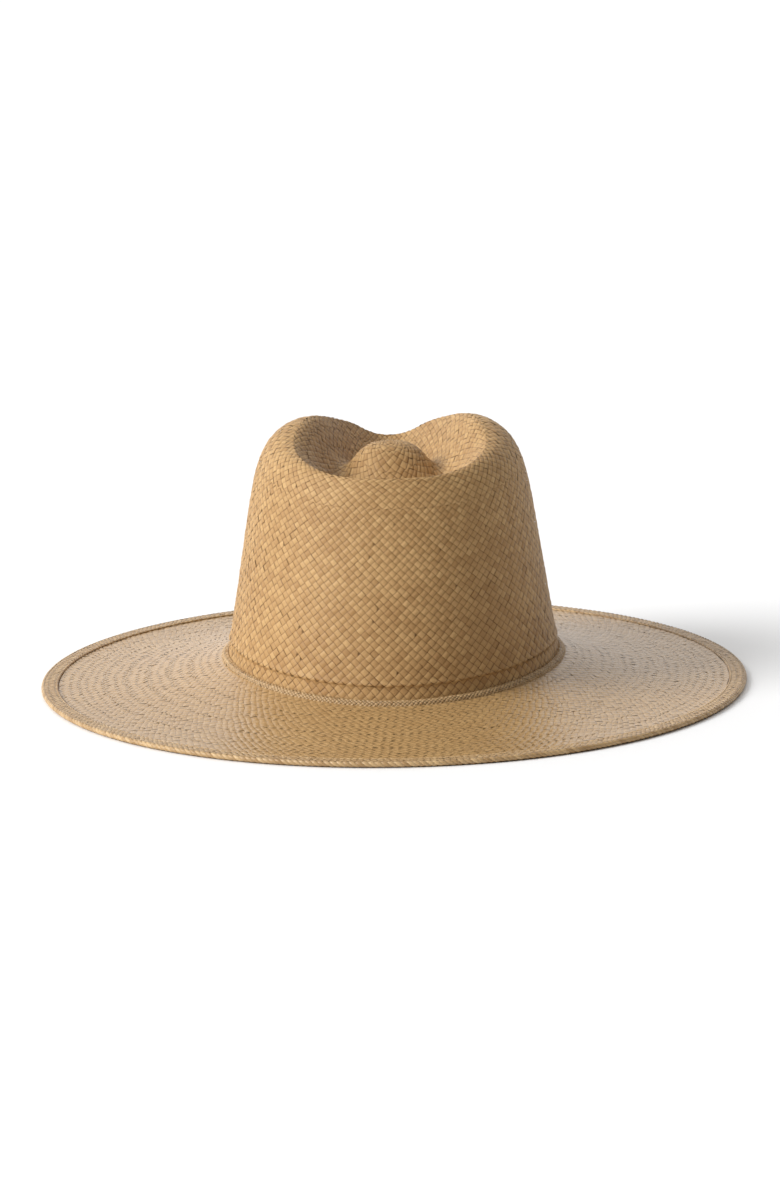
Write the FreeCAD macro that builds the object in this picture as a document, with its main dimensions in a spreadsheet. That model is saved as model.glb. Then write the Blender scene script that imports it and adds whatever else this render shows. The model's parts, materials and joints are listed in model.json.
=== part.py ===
import FreeCAD, Part
import math
import os
import Sketcher
from FreeCAD import Placement, Rotation, Vector

# Panama hat standing on its brim.  Millimetres.  +Z up, +Y to the front of
# the hat, +X to the wearer's right.  The origin is on the table, under the
# middle of the brim.

doc = FreeCAD.newDocument("panama_hat")
sheet = doc.addObject("Spreadsheet::Sheet", "Sizes")

SIZES = [
    # name, value, what it is
    ("half_width", 85, "outside of the crown's base, centre to side"),
    ("half_length", 104, "outside of the crown's base, centre to front"),
    ("straw", 1.4, "thickness of the woven straw"),
    ("crown_foot", 8.8, "underside of the crown's base, front and back"),
    ("side_rise", 5.3, "how much higher the crown's base is at the sides"),
    ("brim_reach", 95, "width of the brim all round"),
    ("brim_rise", 7.85, "how far the brim's top climbs to the crown"),
    ("edge_under", 0.85, "underside of the brim's cloth inside its edge"),
    ("edge_width", 9, "upper ply of the back-woven edge"),
    ("edge_width_under", 7, "lower ply of the back-woven edge"),
    ("edge_wall", 1.1, "turn of the back-woven edge"),
    ("edge_ply", 0.75, "thickness of one ply of the edge"),
    ("edge_height", 3.1, "height of the back-woven edge"),
    ("cord_radius", 1.5, "row of dense weave round the break"),
    ("band_foot", 9.0, "lower edge of the sweatband"),
    ("band_height", 36, "height of the sweatband"),
    ("band_leather", 0.9, "thickness of the sweatband"),
    ("band_inset", 3, "sweatband's outside in from the crown's base, foot"),
    ("band_inset_top", 9.6, "the same at the sweatband's top"),
    ("band_gap", 0.6, "gap between the sweatband's ends at the back"),
    ("reed_radius", 0.9, "plastic reed in the sweatband's roll"),
    ("reed_inset", 3.5, "reed's centre in from the crown's base"),
    ("reed_level", 7.5, "reed's centre above the table"),
    ("tape_bore", 1.0, "inside radius of the reed's tape"),
    ("tape_radius", 1.4, "outside radius of the reed's tape"),
    ("crest_half_width", 46.5, "crest of the crown, half width"),
    ("crest_half_length", 74, "crest of the crown, half length"),
    ("crest_centre", -4, "middle of the crest, towards the front"),
    ("crest_taper", 0.3, "how much the crest narrows to the front"),
    ("bowl_floor", 103, "lowest level of the sunk top"),
    ("bowl_centre", -5, "middle of the sunk top, towards the front"),
    ("dome_height", 21.5, "rounded dome in the sunk top"),
    ("dome_radius", 23, "spread of the dome"),
    ("bow_width", 24, "ribbon bow at the back of the sweatband"),
    ("bow_height", 9, "ribbon bow, height"),
    ("bow_depth", 2.4, "ribbon bow, depth"),
    ("label_width", 22, "care label"),
    ("label_height", 27, "care label, free height"),
    ("label_thick", 0.4, "care label and size tab, thickness"),
    ("label_inset", 12.6, "care label's fold in from the crown's base"),
    ("label_foot", 46, "care label's fold above the table"),
    ("label_lean", 7.7, "care label leans back by this many degrees"),
]
for row, (name, value, note) in enumerate(SIZES, start=1):
    sheet.set("A%d" % row, name)
    sheet.set("B%d" % row, str(value))
    sheet.set("C%d" % row, note)
    sheet.setAlias("B%d" % row, name)
doc.recompute()


def size(name):
    return float(getattr(sheet, name))


def new_body(name):
    body = doc.addObject("PartDesign::Body", name)
    body.Label = name
    return body


def origin_plane(body, role):
    for feature in body.Origin.OriginFeatures:
        if feature.Role == role:
            return feature
    raise RuntimeError("no plane " + role)


def new_sketch(body, name, role, level=None):
    sketch = body.newObject("Sketcher::SketchObject", name)
    sketch.AttachmentSupport = (origin_plane(body, role), "")
    sketch.MapMode = "FlatFace"
    if level is not None:
        sketch.setExpression("AttachmentOffset.Base.z", level)
    return sketch


def add_ellipse(sketch, reach):
    # An ellipse round the head, "reach" outside the crown's base.
    first = sketch.GeometryCount
    shape = Part.Ellipse(Vector(0, 104, 0), Vector(85, 0, 0), Vector(0, 0, 0))
    sketch.addGeometry(shape, False)
    sketch.exposeInternalGeometry(first)
    sketch.addConstraint(Sketcher.Constraint("Coincident", first, 3, -1, 1))
    sketch.addConstraint(Sketcher.Constraint("Vertical", first + 1))
    for line, half in ((first + 1, "half_length"), (first + 2, "half_width")):
        start = 2 * size(half)
        index = sketch.addConstraint(Sketcher.Constraint("Distance", line, start))
        rule = "2 * (Sizes.%s + (%s))" % (half, reach)
        sketch.setExpression("Constraints[%d]" % index, rule)


# ---- brim edge ----------------------------------------------------------
# The straw is woven back over itself: a ply under, a turn and a ply over.

edge = new_body("brim_edge")
EDGE_RINGS = [
    # name, inner reach, level, height
    ("under_ply", "Sizes.brim_reach - Sizes.edge_width_under", "0",
     "Sizes.edge_ply"),
    ("turn", "Sizes.brim_reach - Sizes.edge_wall", "0", "Sizes.edge_height"),
    ("upper_ply", "Sizes.brim_reach - Sizes.edge_width",
     "Sizes.edge_height - Sizes.edge_ply", "Sizes.edge_ply"),
]
for name, inner, level, height in EDGE_RINGS:
    sketch = new_sketch(edge, "edge_" + name, "XY_Plane", level)
    add_ellipse(sketch, "Sizes.brim_reach")
    add_ellipse(sketch, inner)
    doc.recompute()
    pad = edge.newObject("PartDesign::Pad", "edge_" + name + "_pad")
    pad.Profile = sketch
    pad.setExpression("Length", height)
    doc.recompute()
    edge.Tip = pad

# ---- flat trim at the back of the head opening --------------------------


def back_plate(name, across, height, thick, reach, level, lean,
               aside=0.0, turn=0.0):
    # A thin plate that stands on its lower edge against the back of the
    # sweatband: "reach" is its outer face, from the crown's base.
    plate = doc.addObject("Part::Box", name)
    plate.Label = name
    plate.setExpression("Length", across)
    plate.setExpression("Height", height)
    plate.setExpression("Width", thick)
    tilt = Rotation(Vector(0, 0, 1), turn) * Rotation(Vector(1, 0, 0), -lean)
    doc.recompute()
    corner = tilt.multVec(Vector(-plate.Length.Value / 2, 0, 0))
    foot = Vector(aside, -size("half_length") - reach, level)
    plate.Placement = Placement(foot + corner, tilt)
    return plate


slope = math.degrees(math.atan(
    (size("band_inset_top") - size("band_inset")) / size("band_height")))
leather_back = -size("band_inset") - size("band_leather")


def leather_at(height):
    # The sweatband's inner face at a height above its foot, at the back.
    return leather_back - height * math.tan(math.radians(slope))


seam_tape = back_plate("seam_tape", "12", "Sizes.band_height - 7",
                       "0.35", -2.7, size("band_foot") + 2.5, slope)
seam_stitching = back_plate("seam_stitching", "4", "Sizes.band_height - 8",
                            "0.3", leather_at(5) - 0.3,
                            size("band_foot") + 5, slope)
bow = back_plate("bow", "Sizes.bow_width", "Sizes.bow_height",
                 "Sizes.bow_depth", leather_at(6.5) - 1.9,
                 size("band_foot") + 6.5, slope)
size_tab = back_plate("size_tab", "9", "13", "Sizes.label_thick",
                      leather_at(16.5) - 2.4, size("band_foot") + 16.5, slope,
                      aside=15.0, turn=12.5)
care_label = back_plate("care_label", "Sizes.label_width",
                        "Sizes.label_height", "Sizes.label_thick",
                        -size("label_inset"), size("label_foot"),
                        size("label_lean"))

# ---- woven cloth --------------------------------------------------------
# The straw is one woven cloth from the middle of the crown's top to the
# brim's edge.  It is made in four parts: the brim, the crown's side, the
# shoulder that rounds over to the crest, and the sunk top with a dome in it.

# Height of the crest against its place, -1 at the back and 1 at the front.
CREST_LEVELS = [(-1.0, 116.7), (-0.62, 122.4), (-0.28, 127.6), (-0.1, 131.0),
                (0.1, 133.6), (0.35, 133.8), (0.62, 129.6), (0.84, 123.8),
                (1.0, 115.6)]
TIP_SLOPE = -46.0
WALL_STEPS = [0.0, 0.08, 0.18, 0.3, 0.42, 0.54, 0.65, 0.75, 0.8]
SHOULDER_STEPS = [0.8, 0.84, 0.88, 0.92, 0.955, 0.985, 1.0]
BOWL_STEPS = [0.998, 0.985, 0.96, 0.92, 0.87, 0.8, 0.71, 0.62, 0.52, 0.42,
              0.32, 0.23, 0.14, 0.07, 0.035]
BRIM_STEPS = [0.0, 0.12, 0.28, 0.44, 0.6, 0.76, 0.88, 0.94, 1.0]
FLAT_SHARE = 0.88      # share of the brim's width that is curved
ROUND_STEPS = 48
SET_IN = 0.05          # gap between the crown's base and the brim


def crest_level(place):
    # Smooth curve through CREST_LEVELS, flat at the back.
    table = CREST_LEVELS
    for index in range(len(table) - 1):
        if place <= table[index + 1][0]:
            break
    slopes = [0.0]
    for before, after in zip(table[:-2], table[2:]):
        slopes.append((after[1] - before[1]) / (after[0] - before[0]))
    slopes.append(TIP_SLOPE)
    (low, start), (high, end) = table[index], table[index + 1]
    span = high - low
    part = (place - low) / span
    return (start * (1 + 2 * part) * (1 - part) ** 2
            + slopes[index] * span * part * (1 - part) ** 2
            + end * part ** 2 * (3 - 2 * part)
            + slopes[index + 1] * span * part ** 2 * (part - 1))


def crest_point(angle):
    across, along = math.cos(angle), math.sin(angle)
    taper = 1 - size("crest_taper") * along
    return (size("crest_half_width") * across * taper,
            size("crest_centre") + size("crest_half_length") * along,
            crest_level(along))


def shares(angle):
    # How much a direction is side, back and front; they add up to 1.
    side = math.cos(angle) ** 2
    back = (1 - side) if math.sin(angle) < 0 else 0.0
    return side, back, 1 - side - back


def wall_point(angle, climb):
    side, back, front = shares(angle)
    straight = 0.5 * side + 0.9 * back + 0.75 * front
    shoulder = 11 * side + 20 * back + 12 * front
    power = 1.25 - 0.3 * side ** 2
    top = crest_point(angle)
    rounding = 1 - math.sqrt(max(0.0, 1 - climb ** shoulder))
    lean = straight * climb ** power + (1 - straight) * rounding
    foot = (size("half_width") * math.cos(angle),
            size("half_length") * math.sin(angle),
            size("crown_foot") + size("side_rise") * side)
    return Vector(foot[0] + (top[0] - foot[0]) * lean,
                  foot[1] + (top[1] - foot[1]) * lean,
                  foot[2] + (top[2] - foot[2]) * climb)


def bowl_point(angle, out):
    side, back, front = shares(angle)
    top = crest_point(angle)
    across = top[0] * out
    along = (top[1] - size("bowl_centre")) * out
    share = max(0.0, (out - 0.42) / 0.58)
    rise = (side * math.sin(math.pi * share / 2) ** 2
            + back * share ** 3.2 + front * share ** 1.7)
    spread = (math.hypot(across, along) / size("dome_radius")) ** 3.4
    level = (size("bowl_floor") + (top[2] - size("bowl_floor")) * rise
             + size("dome_height") * math.exp(-spread))
    return Vector(across, along + size("bowl_centre"), level)


def brim_point(angle, share):
    # The top climbs in a hollow curve from the flat edge to the crown.
    reach = SET_IN + (size("brim_reach") - size("edge_wall") - 0.55) * share
    curve = max(0.0, 1 - share / FLAT_SHARE) ** 2
    side = math.cos(angle) ** 2
    level = (size("edge_under") + size("straw")
             + (size("brim_rise") + size("side_rise") * side) * curve)
    return Vector((size("half_width") + reach) * math.cos(angle),
                  (size("half_length") + reach) * math.sin(angle), level)


def steps_point(kind, steps):
    # A surface with its steps spread evenly, for points between two steps.
    def place(angle, step):
        low = max(0, min(int(step), len(steps) - 2))
        part = step - low
        return kind(angle, steps[low] * (1 - part) + steps[low + 1] * part)
    return place


def cloth_rows(surface, count, depth, flat_ends=()):
    # Rows of points of a surface, "depth" under its outer face.
    rows = []
    for step in range(count):
        row = []
        for turn in range(ROUND_STEPS):
            angle = 2 * math.pi * turn / ROUND_STEPS
            point = surface(angle, step)
            if depth:
                around = (surface(angle + 0.01, step)
                          - surface(angle - 0.01, step))
                up = (surface(angle, min(step + 0.3, count - 1))
                      - surface(angle, max(step - 0.3, 0)))
                inward = up.cross(around)
                inward.normalize()
                if step in flat_ends:
                    inward = flat_ends[step](angle)
                point = point + inward * depth
            row.append(point)
        rows.append(row)
    return rows


def cloth_face(rows):
    columns = [[row[turn] for row in rows] for turn in range(ROUND_STEPS)]
    count = len(rows)
    degree = min(3, count - 1)
    surface = Part.BSplineSurface()
    surface.buildFromPolesMultsKnots(
        columns, [1] * (ROUND_STEPS + 1),
        [degree + 1] + [1] * (count - degree - 1) + [degree + 1],
        list(range(ROUND_STEPS + 1)), list(range(count - degree + 1)),
        True, False, 3, degree)
    return surface.toShape()


def end_edges(face):
    # The two closed edges of a cloth face, the longer one first.
    loops = [edge for edge in face.Edges if edge.isClosed()]
    loops.sort(key=lambda edge: -edge.Length)
    return loops[0], loops[-1]


def sewn_solid(faces):
    shell = Part.makeShell(faces)
    shell.sewShape()
    solid = Part.makeSolid(shell)
    if solid.Volume < 0:
        solid.reverse()
    return solid


def cloth_node(name, solid):
    if len(solid.Solids) == 1:
        solid = solid.Solids[0]
    node = doc.addObject("Part::Feature", name)
    node.Label = name
    node.Shape = solid
    node.Placement = Placement()
    return node


def inward_flat(angle):
    direction = Vector(-size("half_length") * math.cos(angle),
                       -size("half_width") * math.sin(angle), 0)
    direction.normalize()
    return direction


def straight_down(angle):
    return Vector(0, 0, -1)


def between(outer, inner):
    # The four faces of a ring of cloth between two sets of rows.
    return [cloth_face(outer), cloth_face(inner),
            cloth_face([outer[0], inner[0]]),
            cloth_face([outer[-1], inner[-1]])]


def wall_ring(name, steps, upper_end):
    # A ring of the crown's wall; its lower end is cut level.
    at = steps_point(wall_point, steps)
    count = len(steps)
    return cloth_node(name, sewn_solid(between(
        cloth_rows(at, count, 0),
        cloth_rows(at, count, size("straw"),
                   {0: inward_flat, count - 1: upper_end}))))


# Crown's side, from its base, which rises at the sides, and the shoulder
# above it, up to the crest.  The two meet face to face.
crown_side = wall_ring("crown_side", WALL_STEPS, inward_flat)
crown_shoulder = wall_ring("crown_shoulder", SHOULDER_STEPS, straight_down)

# Crown's top: from the crest inward, closed flat in the middle of the dome.
bowl_at = steps_point(bowl_point, BOWL_STEPS)
count = len(BOWL_STEPS)
top_faces = []
for depth in (0, size("straw")):
    rows = cloth_rows(bowl_at, count, depth, {
        0: straight_down, count - 2: straight_down,
        count - 1: straight_down})
    level = sum(point.z for point in rows[-1]) / ROUND_STEPS
    for row in rows[-2:]:
        for point in row:
            point.z = level
    face = cloth_face(rows)
    top_faces += [face, Part.Face(Part.Wire([end_edges(face)[1]]))]
    if depth:
        top_faces.append(cloth_face([first_row, rows[0]]))
    first_row = rows[0]
crown_top = cloth_node("crown_top", sewn_solid(top_faces))

brim_at = steps_point(brim_point, BRIM_STEPS)
brim_rows = cloth_rows(brim_at, len(BRIM_STEPS), 0)
brim_under = [[Vector(point.x, point.y, point.z - size("straw"))
               for point in row] for row in brim_rows]
brim = cloth_node("brim", sewn_solid(between(brim_rows, brim_under)))

# ---- rings round the head ----------------------------------------------
# Each follows the crown's base, which rises at the sides.


def ring_row(reach, level):
    row = []
    for turn in range(ROUND_STEPS):
        angle = 2 * math.pi * turn / ROUND_STEPS
        row.append(Vector(
            (size("half_width") + reach) * math.cos(angle),
            (size("half_length") + reach) * math.sin(angle),
            level + size("side_rise") * math.cos(angle) ** 2))
    return row


def flat_ring(corners):
    # corners: (distance outside the crown's base, height) in turn.
    rows = [ring_row(reach, level) for reach, level in corners]
    return sewn_solid([cloth_face([rows[index - 1], rows[index]])
                       for index in range(len(rows))])


def round_ring(reach, level, radius):
    # Two half rounds, over and under.
    swell = 4 / 3 * radius
    faces = []
    for up in (swell, -swell):
        corners = [(reach - radius, level), (reach - radius, level + up),
                   (reach + radius, level + up), (reach + radius, level)]
        faces.append(cloth_face([ring_row(*corner) for corner in corners]))
    return sewn_solid(faces)


cord = cloth_node("break_cord", round_ring(
    0.5 + size("cord_radius"), size("crown_foot") + 2.5, size("cord_radius")))
reed = cloth_node("reed", round_ring(
    -size("reed_inset"), size("reed_level"), size("reed_radius")))
tape = cloth_node("reed_tape", round_ring(
    -size("reed_inset"), size("reed_level"), size("tape_radius")).cut(
        round_ring(-size("reed_inset"), size("reed_level"),
                   size("tape_bore"))))

foot, top = size("band_foot"), size("band_foot") + size("band_height")
leather = size("band_leather")
band_ring = flat_ring([
    (-size("band_inset"), foot), (-size("band_inset_top"), top),
    (-size("band_inset_top") - leather, top),
    (-size("band_inset") - leather, foot)])
# The sweatband is open at the back, where its ends meet.
opening = Part.makeBox(
    size("band_gap"), 20, 60,
    Vector(-size("band_gap") / 2, -size("half_length") - 5, 0))
band = cloth_node("sweatband", band_ring.cut(opening))

stitch_foot = foot + 2.1
stitch_inner = -size("band_inset") - leather - 0.9
stitching = cloth_node("band_stitching", flat_ring([
    (stitch_inner, stitch_foot), (stitch_inner, stitch_foot + 2),
    (stitch_inner - 0.3, stitch_foot + 2), (stitch_inner - 0.3, stitch_foot)]))

# ---- checks and export --------------------------------------------------

doc.recompute()
for item in doc.Objects:
    if "Invalid" in item.State or "Error" in item.State:
        raise RuntimeError("%s is %s" % (item.Label, item.State))

nodes = [crown_side, crown_shoulder, crown_top, brim, edge, cord, band, reed,
         tape, stitching, seam_tape, seam_stitching, bow, size_tab, care_label]
os.makedirs("parts", exist_ok=True)
for node in nodes:
    shape = node.Shape
    if shape.isNull() or not shape.isValid() or len(shape.Solids) != 1:
        raise RuntimeError(node.Label + " is not one valid solid")
    shape.exportStep("parts/%s.step" % node.Label)
    box = shape.BoundBox
    print("%-16s %9.1f mm3  x %7.1f %7.1f  y %7.1f %7.1f  z %6.1f %6.1f" % (
        node.Label, shape.Volume, box.XMin, box.XMax, box.YMin, box.YMax,
        box.ZMin, box.ZMax))
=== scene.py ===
import json
import math

import bpy
import numpy as np
from mathutils import Matrix, Vector

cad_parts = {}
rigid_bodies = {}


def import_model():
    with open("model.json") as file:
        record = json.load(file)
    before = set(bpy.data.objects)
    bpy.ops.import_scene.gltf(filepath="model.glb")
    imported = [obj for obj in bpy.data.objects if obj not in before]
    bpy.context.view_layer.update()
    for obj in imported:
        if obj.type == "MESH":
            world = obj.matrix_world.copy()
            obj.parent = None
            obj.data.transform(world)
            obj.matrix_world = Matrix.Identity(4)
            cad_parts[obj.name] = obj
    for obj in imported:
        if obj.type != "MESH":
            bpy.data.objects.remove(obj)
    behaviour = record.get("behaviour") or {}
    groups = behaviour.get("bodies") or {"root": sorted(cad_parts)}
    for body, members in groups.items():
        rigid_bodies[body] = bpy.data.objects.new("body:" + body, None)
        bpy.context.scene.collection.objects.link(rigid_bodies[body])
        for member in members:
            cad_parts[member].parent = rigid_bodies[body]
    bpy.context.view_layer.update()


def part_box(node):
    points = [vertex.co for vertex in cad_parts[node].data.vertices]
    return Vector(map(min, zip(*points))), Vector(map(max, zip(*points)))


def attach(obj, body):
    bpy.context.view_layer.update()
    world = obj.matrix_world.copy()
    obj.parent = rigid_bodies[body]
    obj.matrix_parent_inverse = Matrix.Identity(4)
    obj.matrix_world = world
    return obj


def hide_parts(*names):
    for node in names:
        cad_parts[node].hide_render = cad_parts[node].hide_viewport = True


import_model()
MM = 0.001
rng = np.random.default_rng(7)

# Lengths are in millimetres, in the frame's axes: +Z up, +Y to the front of
# the hat, +X to the wearer's right.  An angle of -90 degrees is the back.


def node_box(node):
    low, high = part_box(node)
    return np.array(low) / MM, np.array(high) / MM


# ---------------------------------------------------------------- sizes

HALF_WIDTH, HALF_LENGTH = 85.0, 104.0     # outside of the crown's base
STRAW = 1.4                               # thickness of the cloth
FOOT = node_box("crown_side")[0][2]       # crown's base, front and back
SIDE_RISE = 5.3                           # the base is higher at the sides
BRIM_REACH = node_box("brim_edge")[1][0] - HALF_WIDTH
BRIM_FLAT = 2.25                          # brim's top near its edge
BRIM_RISE = 7.85
CURVED_SHARE = 0.88
ROW_WANDER = 0.45                         # how far the brim's rows stray
CREASE_LEVEL, CREASE_DEPTH = 9.7, 0.45    # the set-in strip at the base
CREASE_BEAD = 0.6                         # raised line above that strip
CREST_BEAD = 1.2                          # sharp fold of the crest at the back

CREST_HALF_WIDTH, CREST_HALF_LENGTH = 46.5, 74.0
CREST_CENTRE, CREST_TAPER = -4.0, 0.3
BOWL_FLOOR, BOWL_CENTRE = 103.0, -5.0
DOME_HEIGHT, DOME_RADIUS = 21.5, 23.0
# Height of the crest against its place, -1 at the back and 1 at the front.
CREST_LEVELS = np.array([
    (-1.0, 116.7), (-0.62, 122.4), (-0.28, 127.6), (-0.1, 131.0),
    (0.1, 133.6), (0.35, 133.8), (0.62, 129.6), (0.84, 123.8), (1.0, 115.6)])
TIP_SLOPE = -46.0

BAND_FOOT, BAND_HEIGHT, BAND_LEATHER = 9.0, 36.0, 0.9
BAND_INSET, BAND_INSET_TOP, BAND_GAP = 3.0, 9.6, 0.6
BAND_LEAN = math.atan((BAND_INSET_TOP - BAND_INSET) / BAND_HEIGHT)
BAND_STEPS = 18                           # rows up each face of the leather

LABEL_SIZE, LABEL_LEAN = (22.0, 27.0), math.radians(7.7)
TAB_SIZE, TAB_TURN = (9.0, 13.0), math.radians(12.5)
TAPE_SIZE = (12.0, 29.0)
TRIM_THICK = 0.3                          # labels, hem and seam tape
RIBBON_THICK = 0.35
THREAD_RADIUS = 0.24

# ---------------------------------------------------------------- meshes


def add_mesh(name, points, faces, material, body="hat"):
    mesh = bpy.data.meshes.new(name)
    points = np.asarray(points, float) * MM
    faces = np.asarray(faces, np.int32)
    mesh.vertices.add(len(points))
    mesh.vertices.foreach_set("co", points.ravel())
    mesh.loops.add(faces.size)
    mesh.loops.foreach_set("vertex_index", faces.ravel())
    mesh.polygons.add(len(faces))
    mesh.polygons.foreach_set("loop_start", np.arange(len(faces)) * 4)
    mesh.update(calc_edges=True)
    mesh.validate()
    mesh.polygons.foreach_set("use_smooth", [True] * len(mesh.polygons))
    mesh.materials.append(material)
    piece = bpy.data.objects.new(name, mesh)
    bpy.context.scene.collection.objects.link(piece)
    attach(piece, body)
    return piece


def add_strand_values(piece, uv, tint=None):
    # Place along and across each strand, and a tone for each strand.
    layer = piece.data.uv_layers.new(name="strand")
    index = np.zeros(len(piece.data.loops), np.int32)
    piece.data.loops.foreach_get("vertex_index", index)
    layer.data.foreach_set("uv", np.asarray(uv, np.float32)[index].ravel())
    if tint is None:
        tint = np.full(len(piece.data.vertices), 0.5)
    tones = piece.data.attributes.new("tint", "FLOAT", "POINT")
    tones.data.foreach_set("value", np.asarray(tint, np.float32))


def grid_quads(rows, columns):
    index = np.arange(rows * columns).reshape(rows, columns)
    return np.stack([index[:-1, :-1], index[1:, :-1], index[1:, 1:],
                     index[:-1, 1:]], -1).reshape(-1, 4)


# ---------------------------------------------------------------- shape


def crest_level(place):
    at, level = CREST_LEVELS.T
    slope = np.zeros(len(at))
    slope[1:-1] = (level[2:] - level[:-2]) / (at[2:] - at[:-2])
    slope[-1] = TIP_SLOPE
    index = np.clip(np.searchsorted(at, place) - 1, 0, len(at) - 2)
    span = at[index + 1] - at[index]
    part = (place - at[index]) / span
    return (level[index] * (1 + 2 * part) * (1 - part) ** 2
            + slope[index] * span * part * (1 - part) ** 2
            + level[index + 1] * part ** 2 * (3 - 2 * part)
            + slope[index + 1] * span * part ** 2 * (part - 1))


def crest_point(angle):
    across, along = np.cos(angle), np.sin(angle)
    return (CREST_HALF_WIDTH * across * (1 - CREST_TAPER * along),
            CREST_CENTRE + CREST_HALF_LENGTH * along,
            crest_level(np.clip(along, -1, 1)))


def shares(angle):
    # How much a direction is side, back and front; they add up to 1.
    side = np.cos(angle) ** 2
    back = np.where(np.sin(angle) < 0, 1 - side, 0.0)
    return side, back, 1 - side - back


def round_head(angle, reach, level):
    # A point outside the crown's base, which rises at the sides.
    return np.stack([(HALF_WIDTH + reach) * np.cos(angle),
                     (HALF_LENGTH + reach) * np.sin(angle),
                     level + SIDE_RISE * np.cos(angle) ** 2], -1)


def wall_point(angle, climb):
    side, back, front = shares(angle)
    straight = 0.5 * side + 0.9 * back + 0.75 * front
    shoulder = 11 * side + 20 * back + 12 * front
    power = 1.25 - 0.3 * side ** 2
    top = crest_point(angle)
    foot = round_head(angle, 0.0, FOOT)
    rounding = 1 - np.sqrt(np.clip(1 - climb ** shoulder, 0, 1))
    lean = straight * climb ** power + (1 - straight) * rounding
    height = (top[2] - foot[..., 2]) * climb
    set_in = CREASE_DEPTH / (1 + np.exp((height - CREASE_LEVEL) / 0.35))
    set_in = set_in - CREASE_BEAD * np.exp(-((height - CREASE_LEVEL - 0.9)
                                             / 0.9) ** 2)
    x = foot[..., 0] + (top[0] - foot[..., 0]) * lean
    y = foot[..., 1] + (top[1] - foot[..., 1]) * lean
    return np.stack([x - set_in * np.cos(angle), y - set_in * np.sin(angle),
                     foot[..., 2] + height], -1)


def bowl_point(angle, out):
    side, back, front = shares(angle)
    top = crest_point(angle)
    across = top[0] * out
    along = (top[1] - BOWL_CENTRE) * out
    share = np.clip((out - 0.42) / 0.58, 0, 1)
    rise = (side * np.sin(math.pi * share / 2) ** 2
            + back * share ** 3.2 + front * share ** 1.7)
    spread = (np.hypot(across, along) / DOME_RADIUS) ** 3.4
    level = (BOWL_FLOOR + (top[2] - BOWL_FLOOR) * rise
             + DOME_HEIGHT * np.exp(-spread))
    return np.stack([across, along + BOWL_CENTRE, level], -1)


def crown_point(angle, way):
    # way: 0 at the base, 1 on the crest, 2 at the middle of the dome.
    angle, way = np.broadcast_arrays(angle, way)
    wall = wall_point(angle, np.clip(way, 0, 1))
    bowl = bowl_point(angle, np.clip(2 - way, 0, 1))
    point = np.where((way <= 1)[..., None], wall, bowl)
    back = np.clip(-np.sin(angle), 0, 1) ** 2
    point[..., 2] += CREST_BEAD * back * np.exp(-((way - 1) / 0.016) ** 2)
    return point


def brim_point(angle, reach):
    angle, reach = np.broadcast_arrays(angle, reach)
    curve = np.clip(1 - reach / (BRIM_REACH * CURVED_SHARE), 0, 1) ** 2
    rise = BRIM_RISE + SIDE_RISE * np.cos(angle) ** 2
    return np.stack([(HALF_WIDTH + reach) * np.cos(angle),
                     (HALF_LENGTH + reach) * np.sin(angle),
                     BRIM_FLAT + rise * curve], -1)


def brim_weave(angle, reach):
    # The brim with its rows wandering a little, as hand weaving does.
    angle, reach = np.broadcast_arrays(angle, reach)
    middle = np.sin(math.pi * np.clip(reach / BRIM_REACH, 0, 1))
    wander = (np.sin(23 * angle + 0.31 * reach)
              + np.sin(41 * angle - 0.47 * reach + 1.3))
    return brim_point(angle, reach + ROW_WANDER * middle * wander)


def tube_surface(reach, level, radius, start, turn, rises):
    # Part of a round ring; way runs from 0 to 1 over "turn" of a circle.
    def place(angle, way):
        angle, way = np.broadcast_arrays(angle, way)
        swing = 2 * math.pi * (start + turn * way)
        out = reach + radius * np.cos(swing)
        point = round_head(angle, out, level + radius * np.sin(swing))
        if not rises:
            point[..., 2] -= SIDE_RISE * np.cos(angle) ** 2
        return point
    return place


def flat_surface(level, crown):
    # A flat ring of the brim's edge, slightly crowned across; way is reach.
    def place(angle, reach):
        angle, reach = np.broadcast_arrays(angle, reach)
        middle = (reach - BRIM_REACH + 5.0) / 4.0
        return np.stack([(HALF_WIDTH + reach) * np.cos(angle),
                         (HALF_LENGTH + reach) * np.sin(angle),
                         level - crown * middle ** 2], -1)
    return place


# ---------------------------------------------------------------- weave


def facing(surface, angle, way, step):
    around = surface(angle + 0.002, way) - surface(angle - 0.002, way)
    ahead = surface(angle, way + step) - surface(angle, way - step)
    normal = np.cross(around, ahead)
    length = np.linalg.norm(normal, axis=-1, keepdims=True)
    return normal / np.maximum(length, 1e-9)


def strand_patches(surface, angle, way, step, u, v, height, tint, outward):
    # One small patch of mesh for each visible length of strand.  "outward"
    # is -1 where the way runs out from the head, as on the brim, because
    # the surface's own normal then points down.
    normal = outward * facing(surface, angle, way, step)
    points = surface(angle, way) + normal * height[..., None]
    count, cells = angle.shape
    uv = np.stack([np.broadcast_to(u, angle.shape).ravel(),
                   np.broadcast_to(v, angle.shape).ravel()], -1)
    return {"points": points.reshape(-1, 3), "uv": uv, "count": count,
            "cells": cells, "tint": np.repeat(tint, cells)}


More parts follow.
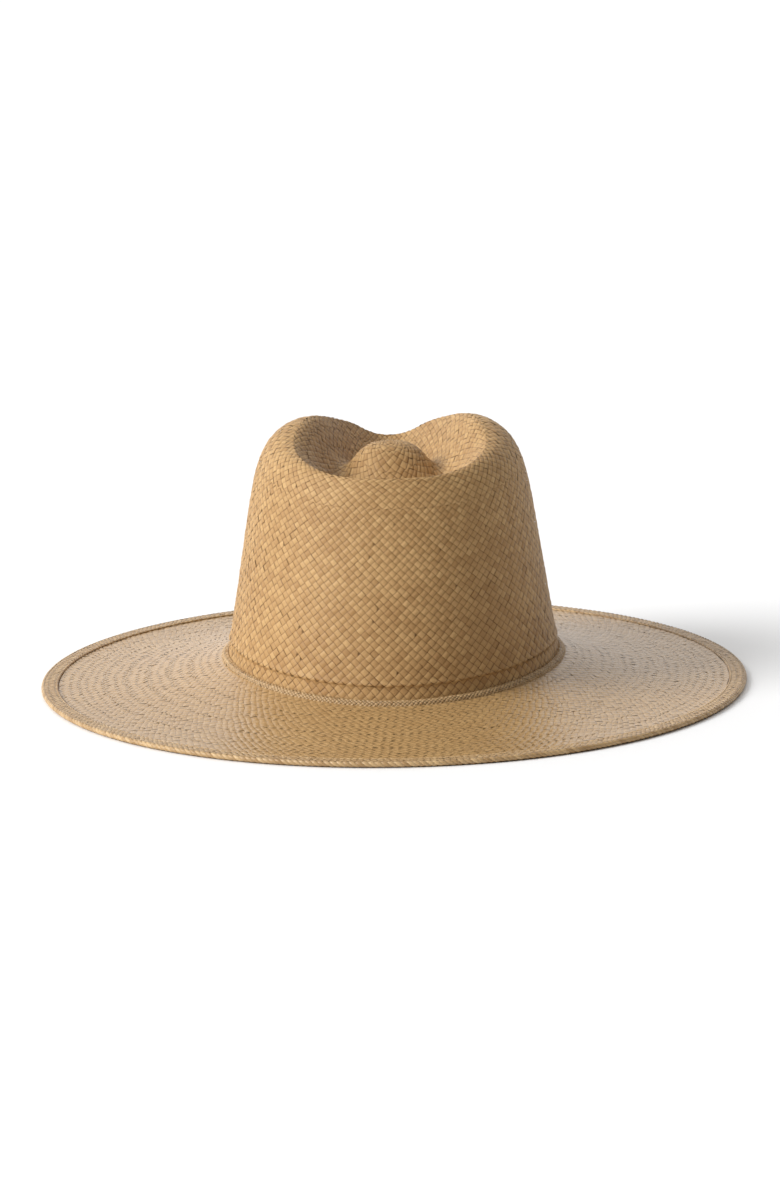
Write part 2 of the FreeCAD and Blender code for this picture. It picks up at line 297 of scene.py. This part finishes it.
def woven_ring(surface, start, end, strands, lift=0.34, depth=0.0,
               along_parts=4, across_parts=3, slant=0.9, loose=0.0,
               spread=1.0, outward=1):
    # One round of plain weave between two ways of a surface.  Both families
    # of strands run round the hat, one climbing each way, and every square
    # of the lattice is one short length of the strand on top there.  "lift"
    # is a strand's height in mm, "depth" sets the round back from the
    # surface, and "loose" is the share of strands with a pinhole.
    ways = np.linspace(start, end, 300)
    ring = np.linspace(0, 2 * math.pi, 181)
    grid = surface(ring[None, :], ways[:, None])
    girth = np.linalg.norm(np.diff(grid, axis=1), axis=-1).sum(1)
    climb = np.linalg.norm(np.diff(grid, axis=0), axis=-1)[:, :-1].mean(1)
    pitch = slant * 0.5 * (girth[1:] + girth[:-1]) / strands
    rows = np.concatenate([[0], np.cumsum(climb / pitch)])
    count = max(1, round(2 * rows[-1])) / 2
    rows *= count / rows[-1]

    twice = np.arange(int(2 * count) + 1)[:, None]
    second = np.arange(strands)[None, :] - twice // 2
    first = (second + twice).ravel()
    second = second.ravel()
    over = ((first + second) % 2 == 0)[:, None]
    along = np.linspace(-0.06, 1.06, along_parts + 1)
    across = np.linspace(-0.03, 1.03, across_parts + 1)
    u, v = [side.ravel()[None, :]
            for side in np.meshgrid(along, across, indexing="ij")]
    # A loose strand narrows towards one end, and leaves a pinhole there.
    end_part = np.clip((u - 0.5) / 0.5, 0, 1)
    narrow = 1 - 0.38 * end_part * (rng.random(len(first)) < loose)[:, None]
    a = first[:, None] + np.where(over, v * narrow, u)
    b = second[:, None] + np.where(over, u, v * narrow)
    angle = math.pi * (a + b) / strands
    row = np.clip((a - b) / 2, 0, count)
    way = np.interp(row, rows, ways)
    bow = np.sin(math.pi * np.clip(u, 0, 1)) ** 0.8
    tucked = 0.25 * ((u < 0) | (u > 1))
    height = lift * (bow * (1 - 0.5 * np.abs(2 * v - 1) ** 2.5) - 0.35 - tucked)

    height = height + 0.2 * lift * rng.normal(size=len(first))[:, None]

    wrapped = 2 * strands
    number = np.where(over[:, 0], first % wrapped, wrapped + second % wrapped)
    tint = 0.5 + spread * (0.4 * rng.random(2 * wrapped + 2)[number]
                           + 0.6 * rng.random(len(first)) - 0.5)
    part = strand_patches(surface, angle, way, (end - start) * 1e-3, u, v,
                          np.broadcast_to(height, angle.shape) - depth, tint,
                          outward)
    quads = grid_quads(along_parts + 1, across_parts + 1)
    faces = np.arange(part["count"])[:, None, None] * part["cells"] + quads
    # Strands of the two families wind opposite ways on the lattice.
    faces[~over[:, 0]] = faces[~over[:, 0]][:, :, ::-1]
    faces = faces.reshape(-1, 4)
    # A face squeezed flat on the ring's border is left out.
    corner_row = row.ravel()[faces]
    part["faces"] = faces[np.ptp(corner_row, axis=1) > 1e-6]
    return part


def rope_ring(surface, marks, slope, lift=0.35, along_parts=6, outward=-1):
    # Slanted strands laid side by side over a narrow ring.
    along = np.linspace(0.0, 1.0, along_parts + 1)
    across = np.linspace(0.0, 1.0, 5)
    u, v = [side.ravel()[None, :]
            for side in np.meshgrid(along, across, indexing="ij")]
    mark = np.arange(marks)[:, None]
    angle = 2 * math.pi * (mark + v + slope * u) / marks
    way = np.broadcast_to(u, angle.shape)
    height = lift * (np.sin(math.pi * v) ** 0.7 - 1)
    part = strand_patches(surface, angle, way, 1e-3, u, v,
                          np.broadcast_to(height, angle.shape),
                          rng.random(marks), outward)
    quads = grid_quads(along_parts + 1, 5)[:, ::-1]
    part["faces"] = (np.arange(marks)[:, None, None] * part["cells"]
                     + quads).reshape(-1, 4)
    return part


def woven_piece(name, rings, material, flip=False, replaces=()):
    total, faces = 0, []
    for ring in rings:
        faces.append(ring["faces"] + total)
        total += len(ring["points"])
    faces = np.concatenate(faces)
    if flip:
        faces = faces[:, ::-1]
    points, uv, tint = [np.concatenate([ring[key] for ring in rings])
                        for key in ("points", "uv", "tint")]
    piece = add_mesh(name, points, faces, material)
    add_strand_values(piece, uv, tint)
    if replaces:
        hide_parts(*replaces)
    return piece


# ---------------------------------------------------------------- trim


def tubes(name, paths, radius, material, body="hat", replaces=()):
    # Short lengths of thread; paths holds one row of points for each.
    paths = np.asarray(paths, float)
    count, steps, sides = paths.shape[0], paths.shape[1], 7
    ahead = np.gradient(paths, axis=1)
    ahead /= np.linalg.norm(ahead, axis=-1, keepdims=True)
    side = np.cross(ahead, [0.31, 0.17, 0.93])
    side /= np.linalg.norm(side, axis=-1, keepdims=True)
    other = np.cross(ahead, side)
    swing = np.linspace(0, 2 * math.pi, sides)[None, None, :, None]
    taper = radius * np.sin(np.linspace(0.12, math.pi - 0.12, steps)) ** 0.25
    ring = side[:, :, None] * np.cos(swing) + other[:, :, None] * np.sin(swing)
    points = paths[:, :, None] + ring * taper[None, :, None, None]
    faces = (np.arange(count)[:, None, None] * steps * sides
             + grid_quads(steps, sides)).reshape(-1, 4)
    piece = add_mesh(name, points.reshape(-1, 3), faces, material, body)
    u, v = np.meshgrid(np.linspace(0, 1, steps), np.linspace(0, 1, sides),
                       indexing="ij")
    uv = np.stack([u.ravel(), v.ravel()], -1)
    add_strand_values(piece, np.tile(uv, (count, 1)))
    if replaces:
        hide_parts(*replaces)
    return piece


def stitch_paths(starts, ends, outward, bulge):
    way = np.linspace(0, 1, 8)[None, :, None]
    line = starts[:, None] * (1 - way) + ends[:, None] * way
    return line + outward[:, None] * bulge * np.sin(math.pi * way)


def slab(name, place, parts, thick, material, body="hat", replaces=()):
    # A thin closed piece of ribbon or tape; place(u, v) is its middle face.
    across = (1 - np.cos(np.linspace(0, math.pi, parts[0]))) / 2
    along = (1 - np.cos(np.linspace(0, math.pi, parts[1]))) / 2
    u, v = np.meshgrid(across, along, indexing="ij")
    step = 1e-3
    normal = np.cross(place(u + step, v) - place(u - step, v),
                      place(u, v + step) - place(u, v - step))
    normal /= np.linalg.norm(normal, axis=-1, keepdims=True)
    rim = np.minimum(np.minimum(u, 1 - u), np.minimum(v, 1 - v))
    half = 0.5 * thick * np.clip(0.35 + rim / 0.02, 0, 1)[..., None]
    front = place(u, v) + normal * half
    back = place(u, v) - normal * half
    quads = grid_quads(*parts)
    index = np.arange(parts[0] * parts[1]).reshape(parts)
    border = np.concatenate([index[:-1, 0], index[-1, :-1],
                             index[:0:-1, -1], index[0, :0:-1]])
    after = np.roll(border, -1)
    total = index.size
    sides = np.stack([after, border, border + total, after + total], -1)
    faces = np.concatenate([quads, quads[:, ::-1] + total, sides[:, ::-1]])
    points = np.concatenate([front.reshape(-1, 3), back.reshape(-1, 3)])
    piece = add_mesh(name, points, faces, material, body)
    uv = np.stack([u.ravel(), v.ravel()], -1)
    add_strand_values(piece, np.concatenate([uv, uv]))
    if replaces:
        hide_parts(*replaces)
    return piece


def plate_place(node, size, lean, turn=0.0):
    # The middle face of a leaning CAD plate, from the plate's own box.
    low, high = node_box(node)
    spin = np.array(Matrix.Rotation(turn, 3, "Z"))
    up = spin @ np.array([0, math.sin(lean), math.cos(lean)])
    right = spin @ np.array([1.0, 0, 0])
    middle = (low + high) / 2

    def place(u, v):
        sideways, rise = (u - 0.5) * size[0], (v - 0.5) * size[1]
        return middle + right * sideways[..., None] + up * rise[..., None]
    return place


# ---------------------------------------------------------------- materials


def new_material(name):
    material = bpy.data.materials.new(name)
    material.use_nodes = True
    tree = material.node_tree
    return material, tree, tree.nodes["Principled BSDF"]


def math_node(tree, kind, first, second=None):
    node = tree.nodes.new("ShaderNodeMath")
    node.operation = kind
    for socket, value in zip(node.inputs, (first, second)):
        if value is None:
            continue
        if isinstance(value, (int, float)):
            socket.default_value = value
        else:
            tree.links.new(value, socket)
    return node.outputs[0]


def noise(tree, scale, detail, vector=None):
    node = tree.nodes.new("ShaderNodeTexNoise")
    node.inputs["Scale"].default_value = scale
    node.inputs["Detail"].default_value = detail
    if vector is None:
        vector = tree.nodes.new("ShaderNodeTexCoord").outputs["Object"]
    tree.links.new(vector, node.inputs["Vector"])
    return node.outputs[0]


def ramp(tree, value, dark, light, start=0.25, end=0.85):
    node = tree.nodes.new("ShaderNodeValToRGB")
    low, high = node.color_ramp.elements
    low.position, low.color = start, (*dark, 1)
    high.position, high.color = end, (*light, 1)
    tree.links.new(value, node.inputs[0])
    return node.outputs[0]


def add_bump(tree, shader, height, strength, distance):
    node = tree.nodes.new("ShaderNodeBump")
    node.inputs["Strength"].default_value = strength
    node.inputs["Distance"].default_value = distance * MM
    tree.links.new(height, node.inputs["Height"])
    tree.links.new(node.outputs[0], shader.inputs["Normal"])


def strand_place(tree):
    uv = tree.nodes.new("ShaderNodeUVMap")
    uv.uv_map = "strand"
    parts = tree.nodes.new("ShaderNodeSeparateXYZ")
    tree.links.new(uv.outputs[0], parts.inputs[0])
    return parts.outputs[0], parts.outputs[1]


def from_middle(tree, value, power):
    # 0 in the middle of a strand and 1 at its border.
    double = math_node(tree, "MULTIPLY", value, 2.0)
    border = math_node(tree, "ABSOLUTE",
                       math_node(tree, "SUBTRACT", double, 1.0))
    return math_node(tree, "POWER", border, power)


# The gap colour is painted shade for the hollows at the strands' ends and edges.
def straw_material(name, light, dark, gap, roughness, gloss):
    material, tree, shader = new_material(name)
    along, across = strand_place(tree)
    tint = tree.nodes.new("ShaderNodeAttribute")
    tint.attribute_name = "tint"
    # Painted shade: the ends that dive under the next strand, and the strand's two
    # edges, are darkened towards the gap colour.
    side = math_node(tree, "MULTIPLY", from_middle(tree, across, 12.0), 0.4)
    rim = math_node(tree, "MAXIMUM", from_middle(tree, along, 9.0), side)
    # Fibres run along each strand.
    stretch = tree.nodes.new("ShaderNodeCombineXYZ")
    seed = math_node(tree, "MULTIPLY", tint.outputs["Fac"], 40.0)
    for socket, value in zip(stretch.inputs, (
            math_node(tree, "MULTIPLY", along, 0.6),
            math_node(tree, "MULTIPLY", across, 9.0), seed)):
        tree.links.new(value, socket)
    fibre = noise(tree, 1.0, 3.0, stretch.outputs[0])
    # Broad patches from the bleaching and the handling of the straw.
    cloud = noise(tree, 22.0, 4.0)
    tone = math_node(tree, "MULTIPLY", tint.outputs["Fac"], 0.55)
    tone = math_node(tree, "ADD", tone,
                     math_node(tree, "MULTIPLY", fibre, 0.35))
    tone = math_node(tree, "ADD", tone,
                     math_node(tree, "MULTIPLY", cloud, 0.25))
    mix = tree.nodes.new("ShaderNodeMix")
    mix.data_type = "RGBA"
    tree.links.new(rim, mix.inputs["Factor"])
    tree.links.new(ramp(tree, tone, dark, light), mix.inputs["A"])
    # The gap colour is painted shade, laid over the ends and edges by the mask above.
    mix.inputs["B"].default_value = (*gap, 1)
    tree.links.new(mix.outputs["Result"], shader.inputs["Base Color"])
    add_bump(tree, shader, fibre, 0.35, 0.3)
    shader.inputs["Roughness"].default_value = roughness
    shader.inputs["Specular IOR Level"].default_value = gloss
    return material


def ribbed_material(name, light, dark, ribs, threads, roughness, depth=0.1):
    # Woven tape, ribbon, satin or spun thread: ribs across and threads along.
    material, tree, shader = new_material(name)
    along, across = strand_place(tree)
    waves = []
    for place, count in ((along, threads), (across, ribs)):
        turn = math_node(tree, "MULTIPLY", place, 2 * math.pi * count)
        waves.append(math_node(tree, "SINE", turn))
    weave = math_node(tree, "MULTIPLY", waves[0], waves[1])
    weave = math_node(tree, "ADD", math_node(tree, "MULTIPLY", weave, 0.22),
                      math_node(tree, "MULTIPLY", noise(tree, 900.0, 3.0), 1.0))
    tree.links.new(ramp(tree, weave, dark, light), shader.inputs["Base Color"])
    add_bump(tree, shader, weave, 0.6, depth)
    shader.inputs["Roughness"].default_value = roughness
    return material


def leather_material(name, light, dark):
    material, tree, shader = new_material(name)
    cell = tree.nodes.new("ShaderNodeTexVoronoi")
    cell.inputs["Scale"].default_value = 900.0
    place = tree.nodes.new("ShaderNodeTexCoord").outputs["Object"]
    tree.links.new(place, cell.inputs["Vector"])
    grain = math_node(tree, "MULTIPLY", cell.outputs["Distance"], 0.7)
    tone = math_node(tree, "ADD", math_node(tree, "MULTIPLY", grain, 0.5),
                     math_node(tree, "MULTIPLY", noise(tree, 60.0, 5.0), 0.8))
    tree.links.new(ramp(tree, tone, dark, light), shader.inputs["Base Color"])
    add_bump(tree, shader, grain, 0.5, 0.12)
    shader.inputs["Roughness"].default_value = 0.48
    return material


def plastic_material(name, light, dark):
    material, tree, shader = new_material(name)
    cloud = noise(tree, 300.0, 3.0)
    tree.links.new(ramp(tree, cloud, dark, light), shader.inputs["Base Color"])
    add_bump(tree, shader, cloud, 0.2, 0.05)
    shader.inputs["Roughness"].default_value = 0.4
    return material


# The fourth colour of each straw is its painted shade in the hollows at the strands'
# ends and edges.
straw = straw_material("straw_woven", (0.55, 0.345, 0.148),
                       (0.37, 0.205, 0.076), (0.12, 0.055, 0.016), 0.55, 0.3)
straw_brim = straw_material("straw_brim", (0.54, 0.345, 0.150),
                            (0.38, 0.220, 0.085), (0.25, 0.135, 0.048), 0.28, 0.6)
straw_edge = straw_material("straw_edge", (0.58, 0.39, 0.19),
                            (0.36, 0.21, 0.085), (0.10, 0.045, 0.014), 0.38, 0.5)
leather = leather_material("band_leather", (0.30, 0.16, 0.08),
                           (0.17, 0.08, 0.035))
cotton = ribbed_material("cotton_tape", (0.74, 0.67, 0.53),
                         (0.55, 0.48, 0.36), 24, 60, 0.85)
thread = ribbed_material("spun_thread", (0.80, 0.73, 0.57),
                         (0.55, 0.48, 0.35), 2, 5, 0.7)
ribbon = ribbed_material("grosgrain", (0.13, 0.075, 0.045),
                         (0.045, 0.025, 0.016), 14, 40, 0.6)
satin = ribbed_material("label_satin", (0.86, 0.85, 0.80),
                        (0.72, 0.70, 0.64), 70, 90, 0.35, depth=0.04)
plastic = plastic_material("reed_plastic", (0.74, 0.73, 0.69),
                           (0.60, 0.59, 0.55))

# ---------------------------------------------------------------- cloth

WALL_ROUNDS = [
    # start way, end way, strands of each family
    (0.0, 0.09, 112), (0.09, 0.88, 108), (0.88, 1.0, 96)]
TOP_ROUNDS = [
    (1.0, 1.14, 80), (1.14, 1.28, 68), (1.28, 1.42, 56), (1.42, 1.56, 44),
    (1.56, 1.70, 32), (1.70, 1.82, 22), (1.82, 1.92, 13), (1.92, 2.0, 7)]
BRIM_INNER_ROUNDS = [
    (0.0, 9.0, 134), (9.0, 19.0, 150), (19.0, 30.0, 165), (30.0, 41.0, 180)]
BRIM_OUTER_ROUNDS = [
    (41.0, 52.0, 196), (52.0, 63.0, 211), (63.0, 75.0, 227),
    (75.0, BRIM_REACH - 9.0, 242)]
UNDER_ROUND = (BRIM_REACH - 9.0, BRIM_REACH - 2.0, 250)
INNER_FACE = {"depth": STRAW, "lift": -0.35, "along_parts": 3,
              "across_parts": 2}
# The brim's strands are flatter and more even in tone than the crown's.
BRIM_FACE = {"lift": 0.24, "spread": 0.6, "outward": -1}
EDGE_MARKS = 370                          # loops round the brim's edge
EDGE_STRANDS = 350


def rounds(surface, table, **options):
    return [woven_ring(surface, *entry, **options) for entry in table]


woven_piece("crown_wall", rounds(crown_point, WALL_ROUNDS, loose=0.012),
            straw, replaces=("crown_side", "crown_shoulder"))
woven_piece("crown_bowl", rounds(crown_point, TOP_ROUNDS), straw,
            replaces=("crown_top",))
woven_piece("crown_inside",
            rounds(crown_point, WALL_ROUNDS + TOP_ROUNDS, **INNER_FACE),
            straw, flip=True)
woven_piece("brim_top_inner", rounds(
    brim_weave, BRIM_INNER_ROUNDS, **BRIM_FACE), straw_brim,
            flip=True, replaces=("brim",))
woven_piece("brim_top_outer", rounds(
    brim_weave, BRIM_OUTER_ROUNDS, **BRIM_FACE), straw_brim, flip=True)
woven_piece("brim_under", rounds(
    brim_point, BRIM_INNER_ROUNDS + BRIM_OUTER_ROUNDS + [UNDER_ROUND],
    outward=-1, **INNER_FACE), straw_brim)

# The straw is woven back over itself at the edge: a flat ply on top, a turn
# and a flat ply under, with a row of loops along the upper ply's border.
woven_piece("edge_upper_ply", [woven_ring(
    flat_surface(2.95, 0.1), BRIM_REACH - 7.6, BRIM_REACH - 1.2,
    EDGE_STRANDS, lift=0.3, outward=-1)], straw_edge, flip=True, replaces=("brim_edge",))
woven_piece("edge_turn", [rope_ring(
    tube_surface(BRIM_REACH - 1.4, 1.75, 1.4, 0.27, -0.54, False),
    EDGE_MARKS, 1.3)], straw_edge, flip=True)
woven_piece("edge_loops", [rope_ring(
    tube_surface(BRIM_REACH - 8.0, 2.35, 0.85, 0.54, -0.54, False),
    EDGE_MARKS, 0.9, lift=0.4)], straw_edge, flip=True)
woven_piece("edge_under_ply", [woven_ring(
    flat_surface(0.32, -0.02), BRIM_REACH - 7.0, BRIM_REACH - 1.2,
    EDGE_STRANDS, lift=0.2, along_parts=3, across_parts=2)], straw_edge)
woven_piece("break_row", [woven_ring(
    tube_surface(0.2, FOOT + 0.7, 2.4, 0.34, -0.4, True), 0.0, 1.0, 250,
    lift=0.5, loose=0.03, outward=-1)], straw_edge, flip=True,
    replaces=("break_cord",))

# ---------------------------------------------------------------- inside


def band_inner(height):
    # Reach of the sweatband's inner face at a height above its foot.
    return -BAND_INSET - BAND_LEATHER - height * math.tan(BAND_LEAN)


def sweatband():
    # Leather strip with rounded borders, open at the back.
    climb = np.linspace(0, 1, BAND_STEPS + 1)
    edge = np.minimum(climb, 1 - climb) * BAND_HEIGHT
    half = 0.5 * BAND_LEATHER * np.clip(0.3 + edge / 0.9, 0, 1)
    middle = (-BAND_INSET - BAND_LEATHER / 2
              - climb * BAND_HEIGHT * math.tan(BAND_LEAN))
    level = BAND_FOOT + climb * BAND_HEIGHT
    reach = np.concatenate([middle + half, (middle - half)[::-1]])
    level = np.concatenate([level, level[::-1]])
    gap = BAND_GAP / 2 / HALF_WIDTH
    angle = np.linspace(gap, 2 * math.pi - gap, 361) - math.pi / 2
    reach = np.append(reach, reach[0])
    level = np.append(level, level[0])
    points = round_head(angle[:, None], reach[None, :], level[None, :])
    columns = len(reach)
    faces = [grid_quads(len(angle), columns)]
    for row, turn in ((0, 1), (len(angle) - 1, -1)):
        lower = np.arange(BAND_STEPS)
        upper = 2 * BAND_STEPS + 1 - lower
        cap = np.stack([lower, lower + 1, upper - 1, upper], -1)
        faces.append(cap[:, ::turn] + row * columns)
    piece = add_mesh("sweatband_leather", points.reshape(-1, 3),
                     np.concatenate(faces), leather)
    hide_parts("sweatband")


def band_stitches():
    # A zigzag row that holds the sweatband to the reed's tape.
    count = 230
    angle = np.linspace(0.02, 2 * math.pi - 0.02, count + 1) - math.pi / 2
    high = np.arange(count + 1) % 2
    height = 2.3 + 1.6 * high
    reach = band_inner(height) - 0.1
    points = round_head(angle, reach, BAND_FOOT + height)
    outward = -np.stack([np.cos(angle), np.sin(angle), 0 * angle], -1)
    tubes("band_stitches", stitch_paths(points[:-1], points[1:],
                                        outward[:-1], 0.25),
          THREAD_RADIUS, thread, replaces=("band_stitching",))


def seam_stitches():
    # Crossed stitches that draw the sweatband's two ends together.
    starts, ends = [], []
    for height in np.arange(6.5, 30.0, 3.0):
        for side in (-1, 1):
            for point, x, rise in ((starts, -side, 0.0), (ends, side, 2.2)):
                at = height + rise
                point.append((1.7 * x, -HALF_LENGTH - band_inner(at) + 0.15,
                              BAND_FOOT + at))
    starts, ends = np.array(starts), np.array(ends)
    outward = np.tile([0.0, 1.0, 0.0], (len(starts), 1))
    tubes("seam_stitches", stitch_paths(starts, ends, outward, 0.3),
          THREAD_RADIUS, thread, replaces=("seam_stitching",))


def ribbon_bow():
    low, high = node_box("bow")
    middle, half = (low + high) / 2, (high - low) / 2

    def loop(side):
        def place(u, v):
            out = np.sin(math.pi * u)
            width = 8.4 * (0.5 + 0.5 * out)
            x = side * (half[0] - 0.4) * out
            y = 0.75 * np.sin(2 * math.pi * u)
            rise = (v - 0.5) * width
            return middle + np.stack([
                x, y + rise * math.tan(BAND_LEAN), rise], -1)
        return place

    def knot(u, v):
        turn = 2 * math.pi * u
        rise = (v - 0.5) * 5.0
        return middle + np.stack([
            1.7 * np.cos(turn), 0.95 * np.sin(turn)
            + rise * math.tan(BAND_LEAN), rise], -1)

    slab("bow_right", loop(1), (49, 11), RIBBON_THICK, ribbon,
         replaces=("bow",))
    slab("bow_left", loop(-1), (49, 11), RIBBON_THICK, ribbon)
    slab("bow_knot", knot, (33, 9), RIBBON_THICK, ribbon)


def labels():
    label = slab("care_label_satin", plate_place(
        "care_label", LABEL_SIZE, LABEL_LEAN), (25, 29), TRIM_THICK, satin,
        body="label", replaces=("care_label",))
    slab("size_tab_satin", plate_place(
        "size_tab", TAB_SIZE, BAND_LEAN, TAB_TURN), (17, 21), TRIM_THICK,
        satin, replaces=("size_tab",))
    tape = slab("seam_tape_cotton", plate_place(
        "seam_tape", TAPE_SIZE, BAND_LEAN), (21, 41), TRIM_THICK, cotton,
        replaces=("seam_tape",))
    # The label's sewn hem runs up the leather and stops just short of the
    # fold, clear of the circle that the turning label's root sweeps.
    fold = node_box("care_label")[0]
    heights = np.array([28.5, 32.0, 35.2, fold[2] - BAND_FOOT - 0.28])
    back = -HALF_LENGTH - band_inner(heights) + 0.3
    back[-1] = fold[1] - 0.35

    def hem(u, v):
        at = np.clip(v, 0, 1) * (len(heights) - 1)
        step = np.arange(len(heights))
        extra = (v - np.clip(v, 0, 1)) * 10
        return np.stack([(u - 0.5) * LABEL_SIZE[0],
                         np.interp(at, step, back),
                         BAND_FOOT + np.interp(at, step, heights) + extra],
                        -1)

    slab("label_hem", hem, (21, 17), TRIM_THICK, satin)


sweatband()
band_stitches()
seam_stitches()
ribbon_bow()
labels()
woven_piece("reed_tape_roll", [woven_ring(
    tube_surface(-3.5, 7.5, 1.4, 0.0, 1.0, True), 0.0, 1.0, 330, lift=0.12,
    along_parts=3, across_parts=2)], cotton, replaces=("reed_tape",))
for item in bpy.data.objects:
    if item.name == "reed":
        for holder in item.material_slots:
            holder.material = plastic

# ---------------------------------------------------------------- stage


def aim(thing, target, roll=0.0):
    away = Vector(thing.location) - Vector(target)
    turn = away.to_track_quat("Z", "Y").to_matrix()
    turn = turn @ Matrix.Rotation(roll, 3, "Z")
    thing.rotation_euler = turn.to_euler()


def stage_floor():
    side = 40.0
    mesh = bpy.data.meshes.new("floor")
    mesh.from_pydata([(-side, -side, 0), (side, -side, 0), (side, side, 0),
                      (-side, side, 0)], [], [(0, 1, 2, 3)])
    floor = bpy.data.objects.new("floor", mesh)
    bpy.context.scene.collection.objects.link(floor)
    material, tree, shader = new_material("floor_paper")
    shader.inputs["Base Color"].default_value = (0.95, 0.95, 0.95, 1)
    shader.inputs["Roughness"].default_value = 0.9
    mesh.materials.append(material)


def studio_light():
    # A broad soft key from the left, and a room that is lighter to the left
    # and behind the hat than to the right.
    data = bpy.data.lights.new("key", "SUN")
    data.energy = 2.8
    data.angle = math.radians(28)
    lamp = bpy.data.objects.new("key", data)
    lamp.location = (-1.6, -0.7, 1.0)
    bpy.context.scene.collection.objects.link(lamp)
    aim(lamp, (0, 0, 0))

    world = bpy.data.worlds.new("studio")
    bpy.context.scene.world = world
    world.use_nodes = True
    tree = world.node_tree
    glow = tree.nodes["Background"]
    glow.inputs[0].default_value = (1, 1, 1, 1)
    parts = tree.nodes.new("ShaderNodeSeparateXYZ")
    place = tree.nodes.new("ShaderNodeTexCoord").outputs["Generated"]
    tree.links.new(place, parts.inputs[0])
    right = math_node(tree, "MULTIPLY", parts.outputs[0], -0.43)
    ahead = math_node(tree, "MULTIPLY", parts.outputs[1], 0.5)
    both = math_node(tree, "ADD", right, ahead)
    tree.links.new(math_node(tree, "ADD", both, 0.67), glow.inputs[1])


def photograph_camera():
    # From behind and a little above, with the horizon tilted slightly.
    distance, height, roll = 2.5, math.radians(10.78), math.radians(-0.96)
    target_height = 0.06
    data = bpy.data.cameras.new("camera")
    data.sensor_fit = "VERTICAL"
    data.sensor_height = 36.0
    data.lens = 147.695
    data.shift_x, data.shift_y = -0.001756, -0.027843
    camera = bpy.data.objects.new("camera", data)
    camera.location = (0, -distance * math.cos(height),
                       target_height + distance * math.sin(height))
    bpy.context.scene.collection.objects.link(camera)
    aim(camera, (0, 0, target_height), roll)
    bpy.context.scene.camera = camera


stage_floor()
studio_light()
photograph_camera()
bpy.context.scene.view_settings.view_transform = "Standard"
